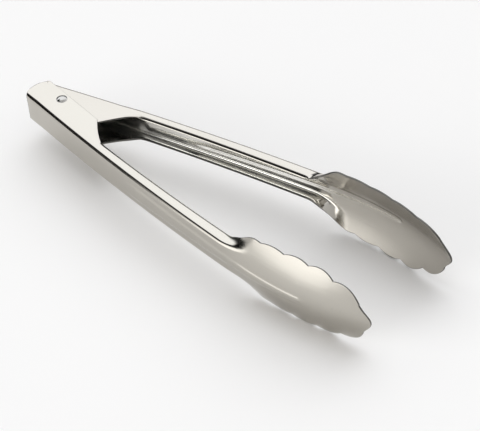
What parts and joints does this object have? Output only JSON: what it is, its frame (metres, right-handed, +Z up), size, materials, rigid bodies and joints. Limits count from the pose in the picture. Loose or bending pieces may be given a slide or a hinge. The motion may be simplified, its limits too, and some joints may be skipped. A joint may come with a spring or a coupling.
{
  "type": "kitchen tongs",
  "caption": "Spring loaded kitchen tongs: two stamped steel channel arms ending in scalloped bowls, nested on a rivet and held open by a torsion spring.",
  "frame": {"origin": "middle of the bottom of the object's box with the tongs open, below the lowest scallops; the pivot axis stands at x = -102.0 mm", "axes": "+X from the pivot towards the jaws along the middle line, +Y across from the outer arm to the inner arm, +Z up along the pivot axis"},
  "size_m": [0.2406, 0.0712, 0.0384],
  "materials": {
    "steel_outer": "polished stainless sheet with a fine satin grain",
    "steel_inner": "polished stainless sheet with a fine satin grain",
    "rivet_steel": "bright peened stainless",
    "spring_steel": "drawn spring wire"
  },
  "bodies": {
    "outer_side": {"outer_arm": "steel_outer", "pivot_rivet": "rivet_steel", "torsion_spring": "spring_steel"},
    "inner_side": {"inner_arm": "steel_inner"}
  },
  "joints": [
    {"name": "arm_pivot", "type": "hinge", "parent": "outer_side", "child": "inner_side", "pos_m": [-0.10203, 0, 0.01922], "axis": [0, 0, 1], "range_deg": [-13.4, 0], "stiffness_Nm_per_rad": 1.2, "springref_deg": 11.46, "deforming": ["torsion_spring"]}
  ]
}
